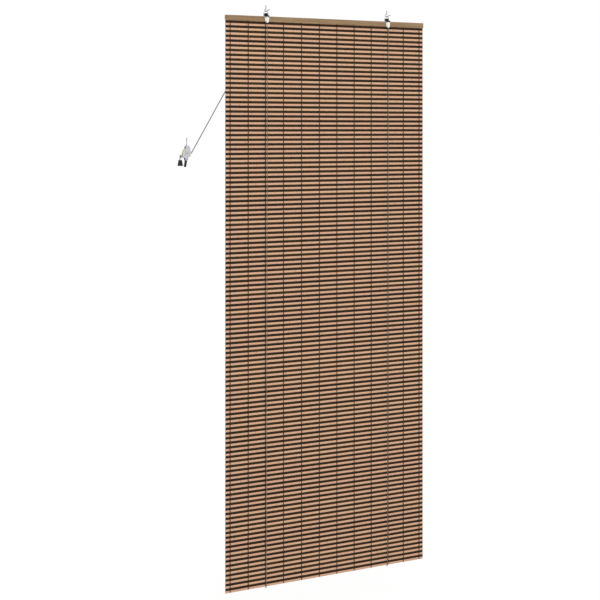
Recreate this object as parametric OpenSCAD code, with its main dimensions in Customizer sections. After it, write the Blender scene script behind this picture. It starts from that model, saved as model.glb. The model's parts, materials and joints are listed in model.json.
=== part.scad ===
// Bamboo roll-up blind, lowered, with its hangers, lift cords and cord lock.
// X runs along the rail, Y from the front to the back, Z up.
// The origin lies midway between the two hook screws, where they enter the lintel.

/* [Slat mat] */
// Width of the mat
mat_w = 899; // [700:1:1100]
// Height of a light slat
light_h = 10; // [9.5:0.5:11]
// Thickness of a light slat
light_t = 5; // [4.6:0.1:5.4]
// Height of a dark stick
dark_h = 8; // [7:0.5:8.5]
// Thickness of a dark stick
dark_t = 3.2; // [2.8:0.1:3.8]
// Thickness where a slat and a stick are pressed together
seam_t = 2; // [1.6:0.1:2.4]
// Width of the rounded edge of a slat or a stick
slat_round = 1.6; // [1.2:0.1:2]
// Number of dark sticks
dark_count = 121; // [60:1:130]
// Width of a warp thread
thread_w = 2.4; // [1.6:0.1:2.8]
// Thickness of a warp thread
thread_t = 1.2; // [1.1:0.05:1.3]

/* [Head rail] */
// Distance of the rail's end from the mat's edge
rail_inset = 1.5; // [0:0.5:4]
// Depth of the rail, front to back
rail_d = 18; // [17:0.5:20]
// Height of the rail
rail_h = 20; // [19:0.5:22]
// Radius of the rail's long edges
rail_round = 1.5; // [1:0.1:2]
// Depth of the groove under the rail
groove_h = 10; // [9.5:0.1:10.5]
// Part of the mat that stands in the groove
mat_in_groove = 8.2; // [7.5:0.1:8.3]
// Gap between the mat's threads and the groove
groove_gap = 0.4; // [0.2:0.1:0.6]
// Number of rail nails, which pin the top slat from behind
nail_count = 11; // [9:2:11]
// Distance of the outer nails from the rail's ends
nail_inset = 48; // [40:1:60]
// Radius of a rail nail
nail_r = 0.8; // [0.7:0.05:1]

/* [Hangers] */
// Distance of each hanger and its lift cord from the warp thread beside it
hanger_beside = 4; // [3.5:0.1:6]
// Drop from the lintel to the top of the rail
hang_drop = 32; // [32:0.5:34]
// Thickness of the bracket's strap
strap_t = 1.2; // [1.1:0.05:1.4]
// Width of the bracket at the top of the rail
bracket_w = 20; // [19:0.5:22]
// Width of the front plate at its foot
plate_foot_w = 9; // [8:0.5:10]
// Length of the front plate below the rail
plate_below = 4; // [2:0.5:5]
// Wall of the front plate's cord cover
cover_t = 1.1; // [1:0.1:1.2]
// Depth of the bush below the top of the rail
bush_drop = 7; // [6.5:0.1:7.5]
// Inner radius of the bush
bush_in_r = 2.2; // [2:0.1:2.4]
// Outer radius of the bush
bush_out_r = 3.4; // [3.2:0.1:3.6]
// Height of the black hanger block
block_h = 12; // [11:0.5:12.5]
// Width of the block at its foot
block_foot_w = 19; // [18:0.5:19.5]
// Width of the block at its head
block_head_w = 9; // [8.5:0.5:11]
// Depth of the block
block_d = 6; // [5:0.5:8]
// Radius of the bail's wire
bail_wire_r = 1.1; // [1:0.05:1.2]
// Half the width of the bail
bail_r = 9.6; // [9.5:0.1:10]
// Radius of the hooks' wire
hook_wire_r = 1.5; // [1.3:0.05:1.6]
// Radius of the hooks' loop
hook_loop_r = 5; // [4.8:0.1:5.2]
// Radius of the hooks' screw thread
hook_thread_r = 1.8; // [1.7:0.05:2]
// Length of the hooks' screw thread
hook_thread_l = 12; // [10:0.5:16]

/* [Guide rollers] */
// Radius of a guide roller's groove
roller_groove_r = 3; // [2.8:0.1:3.1]
// Radius of a guide roller's flanges
roller_r = 4.8; // [4.6:0.1:5]
// Height of the roller's pin below the top of the rail
roller_drop = 15; // [14.8:0.1:15.5]
// Thickness of a guide roller
roller_t = 4.6; // [4.4:0.1:4.8]
// Width of a guide roller's groove
roller_groove_w = 2.6; // [2.6:0.1:3]
// Radius of a roller pin
roller_pin_r = 1.2; // [1.1:0.05:1.3]

/* [Cords] */
// Radius of a lift cord
cord_r = 1; // [0.9:0.05:1.1]
// Radius of a cord's bend at the bush
cord_bend_r = 4; // [4:0.1:4.2]
// Radius of a cord's turn under the mat
cord_turn_r = 6; // [5.8:0.1:6.4]
// Gap between a cord and what guides it
cord_gap = 0.3; // [0.25:0.05:0.4]

/* [Cord lock] */
// Distance of the lock's sheave from the mat's edge
lock_out = 154; // [110:0.5:250]
// Height of the lock's sheave below the top of the rail
lock_drop = 524.5; // [480:0.5:580]
// Radius of the sheave's groove
sheave_groove_r = 15.6; // [15:0.1:15.8]
// Radius of the sheave
sheave_r = 17.6; // [17.2:0.1:17.8]
// Thickness of the sheave
sheave_t = 10.6; // [10.4:0.1:10.8]
// Width of the sheave's groove
sheave_groove_w = 7.8; // [7.6:0.1:8.2]
// Gap between the lock's cheeks
cheek_gap = 11.6; // [11.4:0.1:12]
// Thickness of a cheek
cheek_t = 1.5; // [1.2:0.1:1.8]
// Radius of the lock's sheave pin
sheave_pin_r = 2; // [1.8:0.1:2.2]
// Radius of the lock's lever pin
lever_pin_r = 1.6; // [1.5:0.05:1.7]
// Radius of the lock's guide pin
guide_pin_r = 2.7; // [2.5:0.1:2.8]
// Radius of the bar that the lock hangs from
hang_bar_r = 2; // [1.8:0.1:2.1]
// Radius of the lever's cam
cam_r = 3.4; // [3.2:0.1:3.6]
// Length of the lever's tail
tail_l = 26; // [22:0.5:30]
// Width of the lever's tail
tail_w = 6; // [5:0.5:7]
// Thickness of the lever
lever_t = 9.6; // [8:0.2:10]
// Radius of a cord bell at its mouth
bell_r = 7; // [6.4:0.1:7.2]
// Radius of a cord bell at its top
bell_top_r = 3.4; // [3:0.1:3.8]
// Height of a cord bell
bell_h = 22; // [20:0.5:24]

/* [Hidden] */
$fn = 48;
// Length by which a cut runs past the face it opens
over = 1;
// Gap between a fixed pin, screw or rivet and its hole
fit_gap = 0.3;
// Running gap of a wheel or a lever on its pin
run_gap = 0.05;
// Side gap of a wheel or a lever between its cheeks
side_gap = 0.5;
pitch = light_h + dark_h;
// Places of the warp threads, as shares of half the mat's width
thread_shares = [0.08898776, 0.26696329, 0.44493882, 0.62291435, 0.78754171, 0.95884316];
thread_places = thread_shares * mat_w / 2;
rail_w = mat_w - 2 * rail_inset;
nail_pitch = (rail_w - 2 * nail_inset) / (nail_count - 1);
hanger_x = thread_places[3] - hanger_beside;
lock_x = -mat_w / 2 - lock_out;
rail_top = -hang_drop;
rail_foot = rail_top - rail_h;
mat_top = rail_foot + mat_in_groove;
mat_h = (dark_count + 1) * light_h + dark_count * dark_h;
mat_foot = mat_top - mat_h;
groove_w = light_t + 2 * thread_t + 2 * groove_gap;
nail_head_r = 1.6;
nail_head_t = 1;
nail_z = rail_foot + mat_in_groove - light_h / 2;
nail_l = rail_d / 2 - light_t / 2;
screw_r = 1.1;
screw_l = 7;
screw_head_r = 2;
screw_head_t = 1.2;
screw_x = 7;
screw_drop = 4.5;
rivet_r = 1.2;
rivet_l = 7;
rivet_x = 2.8;
bail_drop = 6;
bail_leg = 6.5;
bail_in = 4.2;
hook_turn = 45;
hook_sweep = 255;
tip_flare = 55;
hook_tip_l = 11;
lock_tip_l = 4;
loop_z = rail_top + bail_drop + bail_leg + bail_r - bail_wire_r - cord_gap - hook_wire_r + hook_loop_r;
back_face = rail_d / 2 + strap_t;
plate_gap = 0.6;
cord_front_y = -back_face - cord_r - plate_gap;
cover_gap = 0.7;
cover_top = bush_drop - bush_out_r - fit_gap - cover_t;
lip_t = 1.4;
lip_foot_h = 2.4;
plate_foot = -rail_h - plate_below;
lip_y = -back_face - fit_gap - lip_t;
cover_r = cord_r + cover_gap;
cord_back_y = 6;
cord_end_h = 8;
turn_rise = 2;
cover_below = 12;
drop_below = 6;
round_share = 6;
plate_share = 4;
tip_share = 6;
bush_z = rail_top - bush_drop;
groove_reach = 3.6;
first_groove_y = back_face + groove_reach;
groove_step = 5;
cross_step = 10;
second_groove_y = first_groove_y + groove_step;
roller_turn_r = roller_groove_r + cord_gap + cord_r;
roller_z = rail_top - roller_drop;
pin_head_r = 2.2;
pin_head_t = 1;
back_plate_h = 20;
lock_y = (first_groove_y + second_groove_y) / 2;
lock_z = rail_top - lock_drop;
sheave_turn_r = sheave_groove_r + cord_gap + cord_r;
cheek_points = [
  [-2.5, 28], [4.5, 28], [8, 26.5], [12.5, 19.5], [12.8, 2], [11.5, -9], [5, -14.5], [3.2, -25], [0.5, -28],
  [-5, -28], [-7.5, -25], [-8, -18.5], [-15, -17.2], [-24, -15.8], [-26.4, -11.5], [-25, -8], [-22, -7.2],
  [-8, -6.5], [-6.5, -4], [-7.3, 9], [-7, 17], [-5.5, 25]
];
hang_bar = [0.5, 23.5];
lever_pin = [-2.3, -23.9];
cam_centre = [-2.1, -21.7];
guide_pin = [-22, -11.5];
tail_turn = 9;
lock_hook_reach = 22;
guide_turn_r = guide_pin_r + cord_gap + cord_r;
bell_drop = 26;
bell_y = 7.4;
bell_wall = 1.6;
bell_cap = 7;
knot_r = 2.4;
knot_l = 4;
left_x = -hanger_x;
right_x = hanger_x;

// Points on an arc in the XZ plane, at depth y
function arc_xz(c, r, y, from, to, steps) = [
  for (i = [0:steps])
    let (a = from + (to - from) * i / steps)
      [c[0] + r * cos(a), y, c[1] + r * sin(a)]
];
// Points on an arc in the YZ plane, at place x
function arc_yz(c, r, x, from, to, steps) = [
  for (i = [0:steps])
    let (a = from + (to - from) * i / steps)
      [x, c[0] + r * cos(a), c[1] + r * sin(a)]
];
// Heading of the straight run that passes circle a at distance ra and circle b at distance rb
function heading(a, b, ra, rb) = atan2(b[1] - a[1], b[0] - a[0]) + asin((rb - ra) / norm(b - a));

roller_c = [left_x - roller_turn_r, roller_z];
cross_c = roller_c + [cross_step, 0];
right_roller_c = [right_x - roller_turn_r, roller_z];
sheave_c = [lock_x, lock_z];
guide_c = sheave_c + guide_pin;
left_heading = heading(roller_c, sheave_c, roller_turn_r, sheave_turn_r) + 360;
right_heading = heading(cross_c, sheave_c, -roller_turn_r, sheave_turn_r) + 360;
exit_heading = heading(sheave_c, guide_c, sheave_turn_r, -guide_turn_r) + 360;

// Run of a cord from its end in the rail, down the back, up the front and through the bush
function lift_run(x) = concat(
  [[x, cord_back_y, rail_foot + cord_end_h]],
  arc_yz([0, mat_foot + turn_rise], cord_turn_r, x, 0, -180, 6),
  [[x, cord_front_y, rail_foot - cover_below]],
  arc_yz([cord_front_y + cord_bend_r, bush_z - cord_bend_r], cord_bend_r, x, 180, 90, 3),
  arc_yz([first_groove_y - cord_bend_r, bush_z - cord_bend_r], cord_bend_r, x, 90, 0, 3)
);
// Run of a cord through the lock, from the sheave to the end in its bell
function lock_run(y, from, bell) = concat(
  arc_xz(sheave_c, sheave_turn_r, y, from - 270, exit_heading - 270, 6),
  arc_xz(guide_c, guide_turn_r, y, exit_heading - 90, 180, 4),
  [
    [guide_c[0] - guide_turn_r, y, guide_c[1] - drop_below],
    [guide_c[0] - guide_turn_r, lock_y + bell * bell_y, lock_z - bell_drop],
    [guide_c[0] - guide_turn_r, lock_y + bell * bell_y, lock_z - bell_drop - bell_cap - over]
  ]
);
left_route = concat(
  lift_run(left_x),
  arc_xz(roller_c, roller_turn_r, first_groove_y, 0, left_heading - 270, 3),
  lock_run(first_groove_y, left_heading, -1)
);
right_route = concat(
  lift_run(right_x),
  arc_xz(right_roller_c, roller_turn_r, first_groove_y, 0, -90, 4),
  arc_xz(cross_c, roller_turn_r, second_groove_y, 90, right_heading - 90, 4),
  lock_run(second_groove_y, right_heading, 1)
);

function unit(v) = v / norm(v);
function along(p, i) =
  i == 0 ? unit(p[1] - p[0])
  : i == len(p) - 1 ? unit(p[i] - p[i - 1])
  : unit(unit(p[i + 1] - p[i]) + unit(p[i] - p[i - 1]));
function beside(p, i) =
  i == 0 ? [1, 0, 0]
  : let (t = along(p, i), n = beside(p, i - 1)) unit(n - (n * t) * t);

// A round bar along Y, from one depth to another
module bar_y(r, from, to) {
  translate([0, from, 0])
    rotate([-90, 0, 0])
      cylinder(r = r, h = to - from);
}

// A flat outline in the XZ plane, thickened from one depth to another
module plate_y(from, to) {
  translate([0, to, 0])
    rotate([90, 0, 0])
      linear_extrude(height = to - from)
        children();
}

module at_hanger(x) {
  translate([x, 0, rail_top])
    children();
}

module at_lock() {
  translate([lock_x, lock_y, lock_z])
    children();
}

// A cord as one tube swept along its route
module cord(route) {
  sides = 8;
  n = len(route);
  points = [
    for (i = [0:n - 1])
      let (t = along(route, i), u = beside(route, i), v = cross(t, u))
        for (k = [0:sides - 1])
          route[i] + cord_r * (cos(360 * k / sides) * u + sin(360 * k / sides) * v)
  ];
  walls = [
    for (i = [0:n - 2], k = [0:sides - 1])
      let (a = i * sides + k, b = i * sides + (k + 1) % sides)
        each [[a, a + sides, b], [b, a + sides, b + sides]]
  ];
  caps = [
    [for (k = [0:sides - 1]) k],
    [for (k = [0:sides - 1]) n * sides - 1 - k]
  ];
  polyhedron(points = points, faces = concat(walls, caps), convexity = 10);
}

// Half the mat's section: depth and height of each corner, from the top down
function slat_corners(top, h, t) = [
  [seam_t / 2, top],
  [t / 2 - (t - seam_t) / round_share, top - slat_round / 2],
  [t / 2, top - slat_round],
  [t / 2, top - h + slat_round],
  [t / 2 - (t - seam_t) / round_share, top - h + slat_round / 2]
];
function stick_corners(top, h, t) = [
  [seam_t / 2, top],
  [t / 2, top - slat_round],
  [t / 2, top - h + slat_round]
];
function mat_side() = concat(
  [
    for (i = [0:dark_count - 1])
      let (top = mat_top - i * pitch)
        each concat(slat_corners(top, light_h, light_t), stick_corners(top - light_h, dark_h, dark_t))
  ],
  slat_corners(mat_top - dark_count * pitch, light_h, light_t),
  [[seam_t / 2, mat_foot]]
);

module slat_mat() {
  side = mat_side();
  n = len(side);
  outline = concat(side, [for (i = [n - 1:-1:0]) [-side[i][0], side[i][1]]]);
  color("BurlyWood")
    translate([-mat_w / 2, 0, 0])
      rotate([90, 0, 90])
        linear_extrude(height = mat_w)
          polygon(outline);
}

module at_nails() {
  for (i = [0:nail_count - 1])
    translate([(i - (nail_count - 1) / 2) * nail_pitch, 0, nail_z])
      children();
}

module head_rail() {
  color("Peru")
    difference() {
      translate([-rail_w / 2, 0, rail_foot])
        rotate([90, 0, 90])
          linear_extrude(height = rail_w)
            rail_section();
      translate([-rail_w / 2 - over, -groove_w / 2, rail_foot - over])
        cube([rail_w + 2 * over, groove_w, groove_h + over]);
      at_nails()
        bar_y(nail_r + fit_gap, 0, rail_d / 2 + over);
      for (x = [left_x, right_x]) {
        translate([x, cord_back_y, rail_foot - over])
          cylinder(r = cord_r + fit_gap, h = cord_end_h + over);
        at_hanger(x) {
          translate([0, 0, -bush_drop])
            bar_y(bush_out_r + fit_gap, -rail_d, rail_d);
          at_screws()
            bar_y(screw_r + fit_gap, rail_d / 2 - screw_l, rail_d / 2 + over);
        }
      }
    }
}

module rail_section() {
  translate([-rail_d / 2 + rail_round, 0])
    square([rail_d - 2 * rail_round, rail_h]);
  translate([-rail_d / 2, rail_round])
    square([rail_d, rail_h - 2 * rail_round]);
  for (y = [-rail_d / 2 + rail_round, rail_d / 2 - rail_round])
    for (z = [rail_round, rail_h - rail_round])
      translate([y, z])
        circle(r = rail_round);
}

module rail_nails() {
  color("Silver")
    at_nails() {
      bar_y(nail_r, rail_d / 2 - nail_l, rail_d / 2);
      bar_y(nail_head_r, rail_d / 2, rail_d / 2 + nail_head_t);
    }
}

// One warp thread: a closed loop over the front and the back of the mat
module warp_thread(i) {
  x = i <= 6 ? -thread_places[6 - i] : thread_places[i - 7];
  color("SaddleBrown")
    difference() {
      translate([x - thread_w / 2, -light_t / 2 - thread_t, mat_foot - thread_t])
        cube([thread_w, light_t + 2 * thread_t, mat_h + 2 * thread_t]);
      translate([x - thread_w / 2 - over, -light_t / 2, mat_foot])
        cube([thread_w + 2 * over, light_t, mat_h]);
    }
}

// Both screws of a bracket leg, mirrored to the front and the back of the rail
module at_screws() {
  for (turn = [0, 180])
    rotate([0, 0, turn])
      for (x = [-screw_x, screw_x])
        translate([x, 0, -screw_drop])
          children();
}

// Saddle bracket: tapered front plate with a cord cover, bridge over the rail, back plate
module bracket(x) {
  color("Gainsboro")
    at_hanger(x)
      difference() {
        union() {
          translate([-bracket_w / 2, -back_face, 0])
            cube([bracket_w, 2 * back_face, strap_t]);
          plate_y(-back_face, -rail_d / 2)
            front_outline();
          plate_y(rail_d / 2, back_face)
            translate([-bracket_w / 2, -back_plate_h])
              square([bracket_w, back_plate_h + strap_t]);
          cord_cover();
        }
        translate([0, cord_front_y, plate_foot - over])
          cylinder(r = cover_r, h = cover_r - bush_drop - plate_foot + over);
        translate([0, 0, -bush_drop])
          bar_y(bush_out_r + fit_gap, -back_face - over, back_face + over);
        at_screws()
          bar_y(screw_r + fit_gap, rail_d / 2 - over, back_face + over);
        for (step = x < 0 ? [0, cross_step] : [0])
          translate([step - roller_turn_r, 0, -roller_drop])
            bar_y(roller_pin_r + fit_gap, 0, back_face + over);
        for (side = [-1, 1])
          translate([side * rivet_x, 0, -over])
            cylinder(r = rivet_r + fit_gap, h = strap_t + 2 * over);
      }
}

module front_outline() {
  polygon([
    [-bracket_w / 2, strap_t], [bracket_w / 2, strap_t], [bracket_w / 2, -rail_h / plate_share],
    [plate_foot_w / 2 + rail_round, plate_foot + rail_round], [plate_foot_w / 2, plate_foot],
    [-plate_foot_w / 2, plate_foot], [-plate_foot_w / 2 - rail_round, plate_foot + rail_round],
    [-bracket_w / 2, -rail_h / plate_share]
  ]);
}

// Half-round cover that the cord runs up behind, closed over the bush
module cord_cover() {
  intersection() {
    translate([0, cord_front_y, plate_foot])
      cylinder(r = bush_out_r + fit_gap + cover_t, h = -cover_top - plate_foot);
    translate([-bracket_w / 2, cord_front_y - cover_r - cover_t, plate_foot])
      cube([bracket_w, -cord_front_y + cover_r + cover_t - rail_d / 2, -plate_foot]);
  }
}

module bracket_screws() {
  color("Silver")
    for (x = [left_x, right_x])
      at_hanger(x)
        at_screws() {
          bar_y(screw_r, rail_d / 2 - screw_l, back_face);
          bar_y(screw_head_r, back_face, back_face + screw_head_t);
        }
}

module bush(x) {
  color("DimGray")
    at_hanger(x)
      translate([0, 0, -bush_drop])
        difference() {
          bar_y(bush_out_r, -back_face, back_face);
          bar_y(bush_in_r, -back_face - over, back_face + over);
        }
}

// Black block that joins the bail to the bracket, with a lip over the front plate's head
module hanger_block(x) {
  foot = block_foot_w / 2;
  head = block_head_w / 2;
  color("Black")
    at_hanger(x)
      difference() {
        union() {
          translate([0, 0, strap_t])
            plate_y(-block_d / 2, block_d / 2)
              polygon([
                [-foot, 0], [foot, 0], [foot, rail_round], [head + rail_round / 2, block_h - rail_round / 2],
                [head - rail_round, block_h], [-head + rail_round, block_h],
                [-head - rail_round / 2, block_h - rail_round / 2], [-foot, rail_round]
              ]);
          translate([-foot, lip_y, strap_t])
            cube([2 * foot, -lip_y, lip_foot_h]);
          translate([-foot, lip_y, fit_gap - cover_top])
            cube([2 * foot, lip_t, strap_t + lip_foot_h + cover_top - fit_gap]);
        }
        for (side = [-1, 1]) {
          translate([side * rivet_x, 0, 0])
            cylinder(r = rivet_r + fit_gap, h = rivet_l + fit_gap);
          translate([side * bail_r, 0, bail_drop])
            rotate([0, -side * 90, 0])
              cylinder(r = bail_wire_r + fit_gap, h = bail_in + fit_gap);
        }
      }
}

module block_rivets() {
  color("Silver")
    for (x = [left_x, right_x], side = [-1, 1])
      translate([x + side * rivet_x, 0, rail_top])
        cylinder(r = rivet_r, h = rivet_l);
}

// Wire bail: two ends in the block, two legs and a half ring
module bail(x) {
  color("Silver")
    at_hanger(x) {
      translate([0, 0, bail_drop + bail_leg])
        rotate([90, 0, 0])
          rotate_extrude(angle = 180)
            translate([bail_r, 0])
              circle(r = bail_wire_r);
      for (side = [-1, 1])
        translate([side * bail_r, 0, bail_drop]) {
          cylinder(r = bail_wire_r, h = bail_leg);
          sphere(r = bail_wire_r);
          rotate([0, -side * 90, 0])
            cylinder(r = bail_wire_r, h = bail_in);
        }
    }
}

// Screw hook: loop with a flared tip, shank and screw end; its loop centre is at the origin
module hook(shank, tip_l) {
  color("Silver") {
    rotate([90, 0, 0])
      rotate([0, 0, 90])
        rotate_extrude(angle = hook_sweep)
          translate([hook_loop_r, 0])
            circle(r = hook_wire_r);
    rotate([0, -hook_sweep - 90, 0])
      translate([hook_loop_r, 0, 0]) {
        rotate([0, tip_flare, 0])
          cylinder(r = hook_wire_r, h = tip_l);
        rotate([0, tip_flare, 0])
          translate([0, 0, tip_l])
            sphere(r = hook_wire_r);
        sphere(r = hook_wire_r);
      }
    translate([0, 0, hook_loop_r])
      cylinder(r = hook_wire_r, h = shank - hook_loop_r);
    translate([0, 0, hook_loop_r])
      sphere(r = hook_wire_r);
    translate([0, 0, shank])
      cylinder(r = hook_thread_r, h = hook_thread_l - 2 * hook_thread_r);
    translate([0, 0, shank + hook_thread_l - 2 * hook_thread_r])
      cylinder(r1 = hook_thread_r, r2 = hook_thread_r / tip_share, h = 2 * hook_thread_r);
  }
}

module screw_hook(x) {
  translate([x, 0, loop_z])
    rotate([0, 0, -hook_turn])
      hook(-loop_z, hook_tip_l);
}

// Grooved roller behind a hanger, with its groove at depth y
module guide_roller(c, y) {
  color("Ivory")
    translate([c[0], y, c[1]])
      difference() {
        bar_y(roller_r, -roller_t / 2, roller_t / 2);
        difference() {
          bar_y(roller_r + over, -roller_groove_w / 2, roller_groove_w / 2);
          bar_y(roller_groove_r, -roller_t, roller_t);
        }
        bar_y(roller_pin_r + run_gap, -roller_t, roller_t);
      }
}

// Pins of the three rollers, the cross roller's with a collar behind it
module roller_pins() {
  color("Silver")
    for (place = [[roller_c, first_groove_y], [cross_c, second_groove_y], [right_roller_c, first_groove_y]])
      translate([place[0][0], 0, place[0][1]]) {
        tip = place[1] + roller_t / 2 + side_gap;
        seat = place[1] - roller_t / 2 - fit_gap;
        bar_y(roller_pin_r, rail_d / 2, tip);
        bar_y(pin_head_r, tip, tip + pin_head_t);
        bar_y(pin_head_r, back_face, seat);
      }
}

module lock_frame() {
  color("Silver")
    at_lock() {
      difference() {
        for (side = [0, 180])
          rotate([0, 0, side])
            mirror([side / 180, 0, 0])
              plate_y(cheek_gap / 2, cheek_gap / 2 + cheek_t)
                polygon(cheek_points);
        lock_bore(0, 0, sheave_pin_r + fit_gap);
        lock_bore(lever_pin[0], lever_pin[1], lever_pin_r + fit_gap);
        lock_bore(guide_pin[0], guide_pin[1], guide_pin_r + fit_gap);
      }
      translate([hang_bar[0], 0, hang_bar[1]])
        bar_y(hang_bar_r, -cheek_gap / 2 - cheek_t, cheek_gap / 2 + cheek_t);
    }
}

module lock_bore(x, z, r) {
  translate([x, 0, z])
    bar_y(r, -cheek_gap, cheek_gap);
}

// Pin across the lock's cheeks, with a head at both ends
module lock_rivet(x, z, r) {
  reach = cheek_gap / 2 + cheek_t;
  color("Silver")
    at_lock()
      translate([x, 0, z]) {
        bar_y(r, -reach, reach);
        bar_y(r + pin_head_t, -reach - pin_head_t, -reach);
        bar_y(r + pin_head_t, reach, reach + pin_head_t);
      }
}

module lock_sheave() {
  color("Ivory")
    at_lock()
      difference() {
        bar_y(sheave_r, -sheave_t / 2, sheave_t / 2);
        difference() {
          bar_y(sheave_r + over, -sheave_groove_w / 2, sheave_groove_w / 2);
          bar_y(sheave_groove_r, -sheave_t, sheave_t);
        }
        bar_y(sheave_pin_r + run_gap, -sheave_t, sheave_t);
      }
}

module lock_lever() {
  color("DimGray")
    at_lock()
      difference() {
        plate_y(-lever_t / 2, lever_t / 2)
          lever_outline();
        lock_bore(lever_pin[0], lever_pin[1], lever_pin_r + run_gap);
      }
}

module lever_outline() {
  translate(cam_centre)
    circle(r = cam_r);
  translate(lever_pin)
    circle(r = cam_r);
  translate(lever_pin)
    rotate(-tail_turn) {
      translate([-tail_w / 2, -tail_l])
        square([tail_w, tail_l]);
      translate([0, -tail_l])
        circle(r = tail_w / 2);
    }
}

module lock_hook() {
  at_lock()
    translate([hang_bar[0], 0, hang_bar[1] + hook_loop_r - hook_wire_r - hang_bar_r - cord_gap])
      hook(lock_hook_reach, lock_tip_l);
}

// Hollow bell on the end of a cord
module cord_bell(side) {
  color("Black")
    translate([guide_c[0] - guide_turn_r, lock_y + side * bell_y, lock_z - bell_drop])
      rotate_extrude()
        polygon([
          [cord_r + fit_gap, 0], [bell_top_r, 0], [bell_top_r + bell_wall / 2, -bell_cap / 2],
          [bell_r, -bell_h + bell_wall], [bell_r, -bell_h], [bell_r - bell_wall, -bell_h],
          [bell_r - 2 * bell_wall, -bell_cap], [cord_r + fit_gap, -bell_cap]
        ]);
}

module cord_knots() {
  color("Gray")
    for (side = [-1, 1])
      translate([
        guide_c[0] - guide_turn_r, lock_y + side * bell_y, lock_z - bell_drop - bell_cap - over - knot_l
      ])
        cylinder(r = knot_r, h = knot_l);
}

head_rail();
rail_nails();
slat_mat();
warp_thread(1);  // warp_thread_1
warp_thread(2);  // warp_thread_2
warp_thread(3);  // warp_thread_3
warp_thread(4);  // warp_thread_4
warp_thread(5);  // warp_thread_5
warp_thread(6);  // warp_thread_6
warp_thread(7);  // warp_thread_7
warp_thread(8);  // warp_thread_8
warp_thread(9);  // warp_thread_9
warp_thread(10);  // warp_thread_10
warp_thread(11);  // warp_thread_11
warp_thread(12);  // warp_thread_12
bracket(left_x);  // bracket_left
bracket(right_x);  // bracket_right
bracket_screws();
bush(left_x);  // bush_left
bush(right_x);  // bush_right
hanger_block(left_x);  // hanger_block_left
hanger_block(right_x);  // hanger_block_right
block_rivets();
bail(left_x);  // bail_left
bail(right_x);  // bail_right
screw_hook(left_x);  // screw_hook_left
screw_hook(right_x);  // screw_hook_right
guide_roller(roller_c, first_groove_y);  // guide_roller_left
guide_roller(right_roller_c, first_groove_y);  // guide_roller_right
guide_roller(cross_c, second_groove_y);  // guide_roller_cross
roller_pins();
color("Tan") cord(left_route);  // lift_cord_left
color("Tan") cord(right_route);  // lift_cord_right
lock_frame();
lock_sheave();
lock_rivet(0, 0, sheave_pin_r);  // sheave_pin
lock_lever();
lock_rivet(lever_pin[0], lever_pin[1], lever_pin_r);
lock_rivet(guide_pin[0], guide_pin[1], guide_pin_r);
lock_hook();
cord_bell(-1);  // cord_bell_left
cord_bell(1);  // cord_bell_right
cord_knots();
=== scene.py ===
import json
import math
import bpy
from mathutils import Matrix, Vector

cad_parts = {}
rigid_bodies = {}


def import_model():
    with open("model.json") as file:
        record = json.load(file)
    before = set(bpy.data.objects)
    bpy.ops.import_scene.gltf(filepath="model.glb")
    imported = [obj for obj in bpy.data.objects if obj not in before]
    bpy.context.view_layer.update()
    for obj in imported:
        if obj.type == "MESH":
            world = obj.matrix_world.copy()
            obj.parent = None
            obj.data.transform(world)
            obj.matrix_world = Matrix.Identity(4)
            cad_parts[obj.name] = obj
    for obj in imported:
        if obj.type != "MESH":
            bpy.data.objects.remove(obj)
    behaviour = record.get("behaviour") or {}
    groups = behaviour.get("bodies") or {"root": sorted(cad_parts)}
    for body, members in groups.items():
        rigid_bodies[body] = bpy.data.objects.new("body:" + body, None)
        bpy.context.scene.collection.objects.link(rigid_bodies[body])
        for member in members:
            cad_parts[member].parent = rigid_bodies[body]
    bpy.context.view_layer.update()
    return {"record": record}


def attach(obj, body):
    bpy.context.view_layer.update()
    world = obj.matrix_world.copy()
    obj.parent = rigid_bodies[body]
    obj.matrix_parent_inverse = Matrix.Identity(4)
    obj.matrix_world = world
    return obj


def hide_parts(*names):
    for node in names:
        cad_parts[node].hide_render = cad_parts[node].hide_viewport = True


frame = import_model()
mm = 0.001


# small helpers
def linearColor(hexText):
    parts = [int(hexText[i:i + 2], 16) / 255 for i in (1, 3, 5)]  # sRGB hex to linear
    return tuple(p / 12.92 if p <= 0.04045 else ((p + 0.055) / 1.055) ** 2.4 for p in parts) + (1.0,)


def addNode(tree, kind, settings=None, inputs=None, links=None):
    node = tree.nodes.new(kind)
    for key, value in (settings or {}).items():
        setattr(node, key, value)
    for key, value in (inputs or {}).items():
        node.inputs[key].default_value = value
    for key, socket in (links or {}).items():
        tree.links.new(socket, node.inputs[key])
    return node


def startMaterial(name):
    material = bpy.data.materials.new(name)
    material.use_nodes = True
    tree = material.node_tree
    return material, tree, tree.nodes["Principled BSDF"]


def deselectAll():
    if bpy.context.object and bpy.context.object.mode != 'OBJECT':
        bpy.ops.object.mode_set(mode='OBJECT')
    bpy.ops.object.select_all(action='DESELECT')


def finishPiece(piece, name, body, material):
    deselectAll()
    piece.select_set(True)
    bpy.context.view_layer.objects.active = piece
    bpy.ops.object.transform_apply(location=True, rotation=True, scale=True)
    piece.name = name
    piece.data.name = name
    piece.data.materials.clear()
    piece.data.materials.append(material)
    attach(piece, body)
    return piece


def applyModifiers(piece):
    deselectAll()
    piece.select_set(True)
    bpy.context.view_layer.objects.active = piece
    for modifier in list(piece.modifiers):
        bpy.ops.object.modifier_apply(modifier=modifier.name)


# camera, from the photograph's two vanishing lines
camera = {"place": (-2.783, -4.794, -0.465), "turn": -29.0, "lens": 84.1, "shiftY": -0.2855}
deselectAll()
bpy.ops.object.camera_add(location=camera["place"],
                          rotation=(math.radians(90), 0, math.radians(camera["turn"])))
cameraObject = bpy.context.object
cameraObject.data.lens = camera["lens"]
cameraObject.data.sensor_width = 36
cameraObject.data.shift_y = camera["shiftY"]
cameraObject.data.clip_end = 60
bpy.context.scene.camera = cameraObject
print("camera set")

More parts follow.
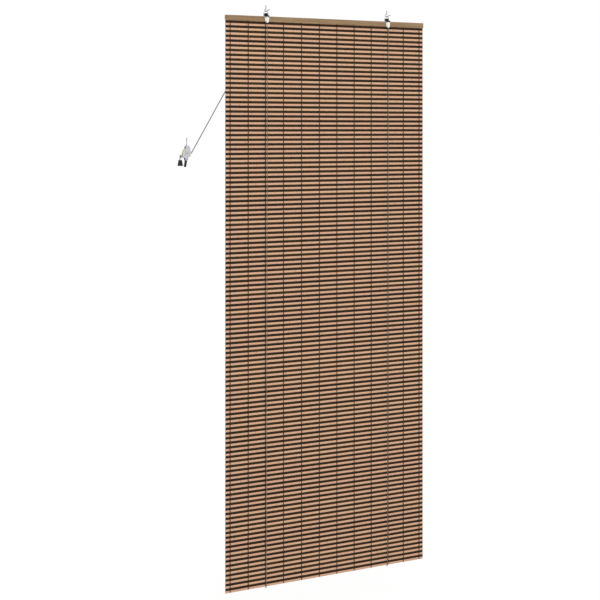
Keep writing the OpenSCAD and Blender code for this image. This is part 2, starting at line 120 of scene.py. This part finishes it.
# lift cords, on the route of the part's own cords
cords = {
    "radius": 1 * mm, "hanger": 276 * mm, "railFoot": -52 * mm, "endHeight": 8 * mm, "matFoot": -2231.8 * mm,
    "footRise": 2 * mm, "backY": 6 * mm, "turn": 6 * mm, "frontY": -11.8 * mm, "frontDrop": 12 * mm,
    "bend": 4 * mm, "bushZ": -39 * mm, "firstGroove": 13.8 * mm, "secondGroove": 18.8 * mm,
    "rollerTurn": 4.3 * mm, "rollerZ": -47 * mm, "crossStep": 10 * mm,
    "sheave": (-603.5 * mm, -556.5 * mm), "sheaveTurn": 16.9 * mm, "guide": (-625.5 * mm, -568 * mm),
    "guideTurn": 4 * mm, "guideDrop": 6 * mm, "lockY": 16.3 * mm, "bellY": 7.4 * mm,
    "bellTop": -582.5 * mm, "endZ": -590.5 * mm,
}


def arcXZ(centre, radius, y, start, end, steps):
    turns = [math.radians(start + (end - start) * i / steps) for i in range(steps + 1)]
    return [Vector((centre[0] + radius * math.cos(a), y, centre[1] + radius * math.sin(a))) for a in turns]


def arcYZ(centre, radius, x, start, end, steps):
    turns = [math.radians(start + (end - start) * i / steps) for i in range(steps + 1)]
    return [Vector((x, centre[0] + radius * math.cos(a), centre[1] + radius * math.sin(a))) for a in turns]


def headingBetween(a, b, ra, rb):
    dx, dz = b[0] - a[0], b[1] - a[1]
    return math.degrees(math.atan2(dz, dx) + math.asin((rb - ra) / math.hypot(dx, dz))) + 360


def liftRun(x):
    c = cords
    return ([Vector((x, c["backY"], c["railFoot"] + c["endHeight"]))]
            + arcYZ((0, c["matFoot"] + c["footRise"]), c["turn"], x, 0, -180, 10)
            + [Vector((x, c["frontY"], c["railFoot"] - c["frontDrop"]))]
            + arcYZ((c["frontY"] + c["bend"], c["bushZ"] - c["bend"]), c["bend"], x, 180, 90, 6)
            + arcYZ((c["firstGroove"] - c["bend"], c["bushZ"] - c["bend"]), c["bend"], x, 90, 0, 6))


def lockRun(y, start, side):
    c = cords
    leave = headingBetween(c["sheave"], c["guide"], c["sheaveTurn"], -c["guideTurn"])
    dropX = c["guide"][0] - c["guideTurn"]
    bellY = c["lockY"] + side * c["bellY"]
    return (arcXZ(c["sheave"], c["sheaveTurn"], y, start - 270, leave - 270, 10)
            + arcXZ(c["guide"], c["guideTurn"], y, leave - 90, 180, 8)
            + [Vector((dropX, y, c["guide"][1] - c["guideDrop"])),
               Vector((dropX, bellY, c["bellTop"])), Vector((dropX, bellY, c["endZ"]))])


def cordRoute(side):
    c = cords
    leftRoller = (-c["hanger"] - c["rollerTurn"], c["rollerZ"])
    rightRoller = (c["hanger"] - c["rollerTurn"], c["rollerZ"])
    if side < 0:
        run = headingBetween(leftRoller, c["sheave"], c["rollerTurn"], c["sheaveTurn"])
        return (liftRun(-c["hanger"]) + arcXZ(leftRoller, c["rollerTurn"], c["firstGroove"], 0, run - 270, 4)
                + lockRun(c["firstGroove"], run, -1))
    crossRoller = (leftRoller[0] + c["crossStep"], c["rollerZ"])
    run = headingBetween(crossRoller, c["sheave"], -c["rollerTurn"], c["sheaveTurn"])
    return (liftRun(c["hanger"]) + arcXZ(rightRoller, c["rollerTurn"], c["firstGroove"], 0, -90, 6)
            + arcXZ(crossRoller, c["rollerTurn"], c["secondGroove"], 90, run - 90, 6)
            + lockRun(c["secondGroove"], run, 1))


def braidedCord():
    # polyester cord, braided: soft sheen, a fine diagonal braid of lighter and darker yarns
    material, tree, shader = startMaterial("braided polyester cord")
    coords = addNode(tree, "ShaderNodeTexCoord")
    yarn = addNode(tree, "ShaderNodeTexWave", {"wave_type": 'BANDS', "bands_direction": 'DIAGONAL'},
                   {"Scale": 300, "Distortion": 0.4}, {"Vector": coords.outputs["Object"]})
    ramp = addNode(tree, "ShaderNodeValToRGB", links={"Fac": yarn.outputs["Fac"]})
    ramp.color_ramp.elements[0].color = linearColor("#766c5c")
    ramp.color_ramp.elements[1].color = linearColor("#8b8272")
    bump = addNode(tree, "ShaderNodeBump", inputs={"Strength": 0.25, "Distance": 0.0002},
                   links={"Height": yarn.outputs["Fac"]})
    tree.links.new(ramp.outputs["Color"], shader.inputs["Base Color"])
    tree.links.new(bump.outputs["Normal"], shader.inputs["Normal"])
    shader.inputs["Roughness"].default_value = 0.75
    shader.inputs["Sheen Weight"].default_value = 0.2
    return material


def routeLength(points):
    return sum((b - a).length for a, b in zip(points, points[1:]))


cordMaterial = braidedCord()
for name, node, bell, side in (("liftCordLeft", "lift_cord_left", "cord_bell_left", -1),
                               ("liftCordRight", "lift_cord_right", "cord_bell_right", 1)):
    route = cordRoute(side)
    curve = bpy.data.curves.new(name, 'CURVE')
    curve.dimensions = '3D'
    curve.bevel_depth = cords["radius"]
    curve.bevel_resolution = 2
    curve.use_fill_caps = True
    spline = curve.splines.new('POLY')
    spline.points.add(len(route) - 1)
    for point, place in zip(spline.points, route):
        point.co = (*place, 1)
    piece = bpy.data.objects.new(name, curve)
    bpy.context.scene.collection.objects.link(piece)
    curve.materials.append(cordMaterial)
    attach(piece, "blind")
    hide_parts(node)
    print(name, round(routeLength(route), 3), "m")


# bamboo, light and dark
mat = {"width": 899 * mm, "top": -43.8 * mm, "pitch": 18 * mm, "count": 121,
       "lightCentre": 4.75 * mm, "lightHeight": 8.8 * mm, "lightDepth": 5 * mm, "round": 2.3 * mm,
       "darkCentre": 13.8 * mm, "darkHeight": 10.4 * mm, "darkDepth": 3.4 * mm,
       "cuts": 24, "bow": 0.7 * mm, "bowLength": 0.12}


def slatNumber(tree, coords, offset):
    # number of the slat that a point lies on, counted down from the rail
    split = addNode(tree, "ShaderNodeSeparateXYZ", links={"Vector": coords.outputs["Object"]})
    down = addNode(tree, "ShaderNodeMath", {"operation": 'SUBTRACT'}, {0: mat["top"] + offset},
                   {1: split.outputs["Z"]})
    count = addNode(tree, "ShaderNodeMath", {"operation": 'DIVIDE'}, {1: mat["pitch"]}, {0: down.outputs[0]})
    return addNode(tree, "ShaderNodeMath", {"operation": 'FLOOR'}, links={0: count.outputs[0]}), split


def slatMaterial(name, tones, offset, fibre, shine):
    # split bamboo: long fine fibres, each slat of its own tone, thin dark rings at the culm's joints
    material, tree, shader = startMaterial(name)
    coords = addNode(tree, "ShaderNodeTexCoord")
    number, split = slatNumber(tree, coords, offset)
    chance = addNode(tree, "ShaderNodeTexWhiteNoise", {"noise_dimensions": '1D'},
                     links={"W": number.outputs[0]})
    tone = addNode(tree, "ShaderNodeValToRGB", links={"Fac": chance.outputs["Value"]})
    tone.color_ramp.elements[0].color = linearColor(tones[0])
    tone.color_ramp.elements[1].color = linearColor(tones[2])
    tone.color_ramp.elements.new(0.5).color = linearColor(tones[1])
    # fibres 0.4 mm wide and about 120 mm long
    stretch = addNode(tree, "ShaderNodeMapping", inputs={"Scale": (8, 900, 2400)},
                      links={"Vector": coords.outputs["Object"]})
    fibres = addNode(tree, "ShaderNodeTexNoise", {"noise_dimensions": '4D'}, {"Scale": 1, "Detail": 3},
                     {"Vector": stretch.outputs["Vector"], "W": number.outputs[0]})
    shade = addNode(tree, "ShaderNodeMapRange",
                    inputs={"From Min": 0.3, "From Max": 0.7, "To Min": fibre, "To Max": 1.06},
                    links={"Value": fibres.outputs["Fac"]})
    # joint rings, one about every 330 mm along the slat
    shift = addNode(tree, "ShaderNodeMath", {"operation": 'MULTIPLY_ADD'}, {1: 3.0},
                    {0: split.outputs["X"], 2: number.outputs[0]})
    along = addNode(tree, "ShaderNodeMath", {"operation": 'MULTIPLY_ADD'}, {1: 7.31},
                    {0: chance.outputs["Value"], 2: shift.outputs[0]})
    cell = addNode(tree, "ShaderNodeMath", {"operation": 'PINGPONG'}, {1: 0.5}, {0: along.outputs[0]})
    ring = addNode(tree, "ShaderNodeMapRange",
                   inputs={"From Min": 0.0, "From Max": 0.006, "To Min": 0.62, "To Max": 1.0},
                   links={"Value": cell.outputs[0]})
    both = addNode(tree, "ShaderNodeMath", {"operation": 'MULTIPLY'},
                   links={0: shade.outputs[0], 1: ring.outputs[0]})
    colour = addNode(tree, "ShaderNodeMix", {"data_type": 'RGBA', "blend_type": 'MULTIPLY'}, {"Factor": 1.0})
    tree.links.new(tone.outputs["Color"], colour.inputs[6])
    tree.links.new(both.outputs[0], colour.inputs[7])
    tree.links.new(colour.outputs[2], shader.inputs["Base Color"])
    bump = addNode(tree, "ShaderNodeBump", inputs={"Strength": 0.25, "Distance": 0.0004},
                   links={"Height": fibres.outputs["Fac"]})
    tree.links.new(bump.outputs["Normal"], shader.inputs["Normal"])
    rough = addNode(tree, "ShaderNodeMapRange", inputs={"To Min": 0.5, "To Max": 0.7},
                    links={"Value": fibres.outputs["Fac"]})
    tree.links.new(rough.outputs[0], shader.inputs["Roughness"])
    shader.inputs["Specular IOR Level"].default_value = shine
    return material


def selectLongEdges(piece):
    # edges that run along the rail, picked by direction
    bpy.ops.object.mode_set(mode='EDIT')
    bpy.ops.mesh.select_mode(type='EDGE')
    bpy.ops.mesh.select_all(action='DESELECT')
    bpy.ops.object.mode_set(mode='OBJECT')
    for edge in piece.data.edges:
        a, b = (piece.data.vertices[i].co for i in edge.vertices)
        edge.select = abs(a.x - b.x) > 0.5 * abs((a - b).length)
    bpy.ops.object.mode_set(mode='EDIT')


def repeatDown(piece, count):
    array = piece.modifiers.new("repeat", 'ARRAY')
    array.count = count
    array.use_relative_offset = False
    array.use_constant_offset = True
    array.constant_offset_displace = (0, 0, -mat["pitch"])
    warpTexture = bpy.data.textures.new("slat bow", 'CLOUDS')
    warpTexture.noise_scale = mat["bowLength"]
    bow = piece.modifiers.new("bow", 'DISPLACE')
    bow.texture = warpTexture
    bow.texture_coords = 'LOCAL'
    bow.direction = 'Y'
    bow.mid_level = 0.5
    bow.strength = mat["bow"]  # natural bow of split bamboo
    applyModifiers(piece)


def lightSlats():
    deselectAll()
    bpy.ops.mesh.primitive_cube_add(size=1, location=(0, 0, mat["top"] - mat["lightCentre"]))
    piece = bpy.context.object
    piece.scale = (mat["width"], mat["lightDepth"], mat["lightHeight"])
    bpy.ops.object.transform_apply(location=True, rotation=True, scale=True)
    selectLongEdges(piece)
    bpy.ops.mesh.bevel(offset=mat["round"], segments=4, affect='EDGES')
    bpy.ops.object.mode_set(mode='OBJECT')
    selectLongEdges(piece)
    bpy.ops.mesh.subdivide(number_cuts=mat["cuts"])
    bpy.ops.object.mode_set(mode='OBJECT')
    repeatDown(piece, mat["count"] + 1)
    bpy.ops.object.shade_smooth_by_angle(angle=math.radians(40))
    return piece


def darkSticks():
    deselectAll()
    bpy.ops.mesh.primitive_cylinder_add(vertices=10, radius=0.5, depth=1, rotation=(0, math.radians(90), 0),
                                        location=(0, 0, mat["top"] - mat["darkCentre"]))
    piece = bpy.context.object
    bpy.ops.object.transform_apply(location=False, rotation=True, scale=False)
    piece.scale = (mat["width"], mat["darkDepth"], mat["darkHeight"])
    bpy.ops.object.transform_apply(location=True, rotation=True, scale=True)
    selectLongEdges(piece)
    bpy.ops.mesh.subdivide(number_cuts=mat["cuts"])
    bpy.ops.object.mode_set(mode='OBJECT')
    repeatDown(piece, mat["count"])
    bpy.ops.object.shade_smooth_by_angle(angle=math.radians(50))
    return piece


splitBamboo = slatMaterial("split bamboo, light", ("#e1b294", "#e4b797", "#e5ba98"), 0, 0.9, 0.4)
smokedBamboo = slatMaterial("smoked bamboo, dark", ("#2c1b06", "#362309", "#402b0e"), -9 * mm, 0.75, 0.15)
slats = finishPiece(lightSlats(), "lightSlats", "blind", splitBamboo)
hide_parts("slat_mat")
sticks = finishPiece(darkSticks(), "darkSticks", "blind", smokedBamboo)
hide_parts("slat_mat")
print("mat woven")

# warp threads, a front and a back thread on each line
threads = {"radius": 0.85 * mm, "places": (40, 120, 200, 280, 354, 431), "lift": 0.15 * mm, "slack": 0.3 * mm,
           "over": 2 * mm, "under": 7.5 * mm}


def twistedThread():
    # cotton thread, twisted and dyed brown: matt, with a slant twist
    material, tree, shader = startMaterial("twisted cotton thread")
    coords = addNode(tree, "ShaderNodeTexCoord")
    twist = addNode(tree, "ShaderNodeTexWave", {"bands_direction": 'DIAGONAL'},
                    {"Scale": 300, "Distortion": 1}, {"Vector": coords.outputs["Object"]})
    ramp = addNode(tree, "ShaderNodeValToRGB", links={"Fac": twist.outputs["Fac"]})
    ramp.color_ramp.elements[0].color = linearColor("#2a1b0e")
    ramp.color_ramp.elements[1].color = linearColor("#46301c")
    tree.links.new(ramp.outputs["Color"], shader.inputs["Base Color"])
    shader.inputs["Roughness"].default_value = 0.9
    return material


def threadPiece(name, x):
    # two strands that cross between the slats, over the front and back again behind
    front = mat["lightDepth"] / 2 + threads["radius"] + threads["lift"]
    dip = mat["darkDepth"] / 2 + threads["radius"] + threads["slack"]
    curve = bpy.data.curves.new(name, 'CURVE')
    curve.dimensions = '3D'
    curve.bevel_depth = threads["radius"]
    curve.bevel_resolution = 0
    for strand in (-1, 1):
        points = []
        for side in (-1, 1):
            line = []
            for i in range(mat["count"] + 1):
                top = mat["top"] - i * mat["pitch"]
                lean = strand * threads["radius"] * (1 if i % 2 else -1)
                line += [(x + lean, side * front, top - threads["over"]),
                         (x + lean, side * front, top - threads["under"])]
                if i < mat["count"]:
                    line.append((x, side * (dip + strand * 0.5 * threads["radius"]), top - mat["darkCentre"]))
            points += line if side < 0 else line[::-1]
        spline = curve.splines.new('POLY')
        spline.use_cyclic_u = True
        spline.points.add(len(points) - 1)
        for point, place in zip(spline.points, points):
            point.co = (*place, 1)
    piece = bpy.data.objects.new(name, curve)
    bpy.context.scene.collection.objects.link(piece)
    deselectAll()
    piece.select_set(True)
    bpy.context.view_layer.objects.active = piece
    bpy.ops.object.convert(target='MESH')
    return bpy.context.object


threadMaterial = twistedThread()
places = [-x for x in reversed(threads["places"])] + list(threads["places"])
for i, x in enumerate(places):
    name = "warpThread%d" % (i + 1)
    piece = finishPiece(threadPiece(name, x * mm), name, "blind", threadMaterial)
    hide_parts("warp_thread_%d" % (i + 1))
print("threads laid")


# finishes of the rail and the fittings
def railBamboo():
    # laminated bamboo batten: fine straight grain along the rail, satin varnish
    material, tree, shader = startMaterial("laminated bamboo")
    coords = addNode(tree, "ShaderNodeTexCoord")
    stretch = addNode(tree, "ShaderNodeMapping", inputs={"Scale": (6, 700, 700)},
                      links={"Vector": coords.outputs["Object"]})
    grain = addNode(tree, "ShaderNodeTexNoise", inputs={"Scale": 1, "Detail": 4},
                    links={"Vector": stretch.outputs["Vector"]})
    ramp = addNode(tree, "ShaderNodeValToRGB", links={"Fac": grain.outputs["Fac"]})
    ramp.color_ramp.elements[0].position = 0.3
    ramp.color_ramp.elements[0].color = linearColor("#7c6040")
    ramp.color_ramp.elements[1].position = 0.7
    ramp.color_ramp.elements[1].color = linearColor("#ae9069")
    bump = addNode(tree, "ShaderNodeBump", inputs={"Strength": 0.2, "Distance": 0.0003},
                   links={"Height": grain.outputs["Fac"]})
    tree.links.new(ramp.outputs["Color"], shader.inputs["Base Color"])
    tree.links.new(bump.outputs["Normal"], shader.inputs["Normal"])
    shader.inputs["Roughness"].default_value = 0.45
    return material


def platedSteel(name, colour, rough):
    # plated steel: bright, with faint cloudy wear in its gloss
    material, tree, shader = startMaterial(name)
    coords = addNode(tree, "ShaderNodeTexCoord")
    cloud = addNode(tree, "ShaderNodeTexNoise", inputs={"Scale": 260, "Detail": 3},
                    links={"Vector": coords.outputs["Object"]})
    gloss = addNode(tree, "ShaderNodeMapRange", inputs={"To Min": rough - 0.06, "To Max": rough + 0.08},
                    links={"Value": cloud.outputs["Fac"]})
    tree.links.new(gloss.outputs[0], shader.inputs["Roughness"])
    shader.inputs["Base Color"].default_value = linearColor(colour)
    shader.inputs["Metallic"].default_value = 1.0
    return material


def mouldedPlastic(name, low, high, rough, shine=0.5):
    # moulded nylon: even colour with a faint mottle and a fine spark-eroded grain
    material, tree, shader = startMaterial(name)
    coords = addNode(tree, "ShaderNodeTexCoord")
    mottle = addNode(tree, "ShaderNodeTexNoise", inputs={"Scale": 900, "Detail": 2},
                     links={"Vector": coords.outputs["Object"]})
    ramp = addNode(tree, "ShaderNodeValToRGB", links={"Fac": mottle.outputs["Fac"]})
    ramp.color_ramp.elements[0].color = linearColor(low)
    ramp.color_ramp.elements[1].color = linearColor(high)
    bump = addNode(tree, "ShaderNodeBump", inputs={"Strength": 0.15, "Distance": 0.0002},
                   links={"Height": mottle.outputs["Fac"]})
    tree.links.new(ramp.outputs["Color"], shader.inputs["Base Color"])
    tree.links.new(bump.outputs["Normal"], shader.inputs["Normal"])
    shader.inputs["Roughness"].default_value = rough
    shader.inputs["Specular IOR Level"].default_value = shine
    return material


finishes = {
    "rail_bamboo": railBamboo(),
    "plated_steel": platedSteel("chromed steel", "#cfd3d8", 0.2),
    "zinc_wire": platedSteel("zinc plated wire", "#a3a7ac", 0.32),
    "black_plastic": mouldedPlastic("black nylon", "#040404", "#0d0c0c", 0.4, 0.3),
    "cream_plastic": mouldedPlastic("cream nylon", "#d8d0bd", "#e6dfce", 0.35),
    "cord": cordMaterial, "warp_thread": threadMaterial, "slat_bamboo": splitBamboo,
}
for part in frame["record"]["subparts"]:
    node = bpy.data.objects[part["node"]]
    node.data.materials.clear()
    node.data.materials.append(finishes[part["material_slot"]])
# brackets: a near-white copy of the plated steel, its extra brightness a painted highlight
plateWithPaintedHighlight = platedSteel("plated steel with painted highlight", "#f6f5f1", 0.38)
for name in ("bracket_left", "bracket_right"):
    bpy.data.objects[name].data.materials[0] = plateWithPaintedHighlight
print("finishes given")

# screw threads of the three hooks
screws = {"radius": 1.75 * mm, "ridge": 0.28 * mm, "lead": 1.4 * mm, "steps": 14, "pointShare": 0.75,
          "start": 11.5 * mm, "tip": 0.5 * mm}


def screwThread(name, x, y, low, high):
    curve = bpy.data.curves.new(name, 'CURVE')
    curve.dimensions = '3D'
    curve.bevel_depth = screws["ridge"]
    curve.bevel_resolution = 1
    count = int((high - low) / screws["lead"] * screws["steps"])
    spline = curve.splines.new('POLY')
    spline.points.add(count)
    for i, point in enumerate(spline.points):
        turn = 2 * math.pi * i / screws["steps"]
        # the ridge runs out at the point
        taper = screws["pointShare"] + (1 - screws["pointShare"]) * (count - i) / screws["steps"]
        reach = screws["radius"] * min(1, taper)
        point.co = (x + reach * math.cos(turn), y + reach * math.sin(turn), low + (high - low) * i / count, 1)
    piece = bpy.data.objects.new(name, curve)
    bpy.context.scene.collection.objects.link(piece)
    deselectAll()
    piece.select_set(True)
    bpy.context.view_layer.objects.active = piece
    bpy.ops.object.convert(target='MESH')
    return finishPiece(bpy.context.object, name, "blind", finishes["zinc_wire"])


for node, name in (("screw_hook_left", "hookThreadLeft"), ("screw_hook_right", "hookThreadRight"),
                   ("lock_hook", "lockHookThread")):
    hook = bpy.data.objects[node]
    corners = [hook.matrix_world @ v.co for v in hook.data.vertices]
    top = max(c.z for c in corners)
    head = [c for c in corners if c.z > top - screws["tip"]]
    x, y = (sum(c[k] for c in head) / len(head) for k in (0, 1))
    screwThread(name, x, y, top - screws["start"], top - screws["tip"])
print("screw threads cut")

# floor, backdrop light and lamps
studio = {"floorZ": -2.45, "size": 60, "key": 128, "fill": 52}
deselectAll()
bpy.ops.mesh.primitive_plane_add(size=studio["size"], location=(0, 0, studio["floorZ"]))
floor = bpy.context.object
floor.name = "floor"
floorMaterial, tree, shader = startMaterial("pale floor")
shader.inputs["Base Color"].default_value = linearColor("#f4f4f2")
shader.inputs["Roughness"].default_value = 0.9
light = addNode(tree, "ShaderNodeLightPath")
white = addNode(tree, "ShaderNodeEmission", inputs={"Strength": 1.08})
seen = addNode(tree, "ShaderNodeMath", {"operation": 'MULTIPLY'}, {1: 0.85},
               {0: light.outputs["Is Camera Ray"]})
blend = addNode(tree, "ShaderNodeMixShader",
                links={0: seen.outputs[0], 1: shader.outputs[0], 2: white.outputs[0]})
tree.links.new(blend.outputs[0], tree.nodes["Material Output"].inputs["Surface"])
floor.data.materials.append(floorMaterial)

world = bpy.data.worlds.new("studio")
bpy.context.scene.world = world
world.use_nodes = True
tree = world.node_tree
light = addNode(tree, "ShaderNodeLightPath")
straight = addNode(tree, "ShaderNodeMath", {"operation": 'MAXIMUM'},
                   links={0: light.outputs["Is Camera Ray"], 1: light.outputs["Is Glossy Ray"]})
through = addNode(tree, "ShaderNodeMath", {"operation": 'MAXIMUM'},
                  links={0: straight.outputs[0], 1: light.outputs["Is Transmission Ray"]})
strength = addNode(tree, "ShaderNodeMapRange", inputs={"To Min": 0.55, "To Max": 1.0},
                   links={"Value": through.outputs[0]})
background = tree.nodes["Background"]
background.inputs["Color"].default_value = (1, 1, 1, 1)
tree.links.new(strength.outputs[0], background.inputs["Strength"])


def lamp(name, place, aim, size, power):
    deselectAll()
    bpy.ops.object.light_add(type='AREA', location=place)
    item = bpy.context.object
    item.name = name
    item.data.size = size
    item.data.energy = power
    item.rotation_euler = (Vector(aim) - Vector(place)).to_track_quat('-Z', 'Y').to_euler()


lamp("key", (-2.2, -5.5, 2.4), (0, 0, -1.1), 3.0, studio["key"])
lamp("fill", (5.6, -3.2, -1.2), (0, 0, -1.3), 3.0, studio["fill"])
bpy.context.scene.view_settings.view_transform = 'Standard'
print("studio lit")
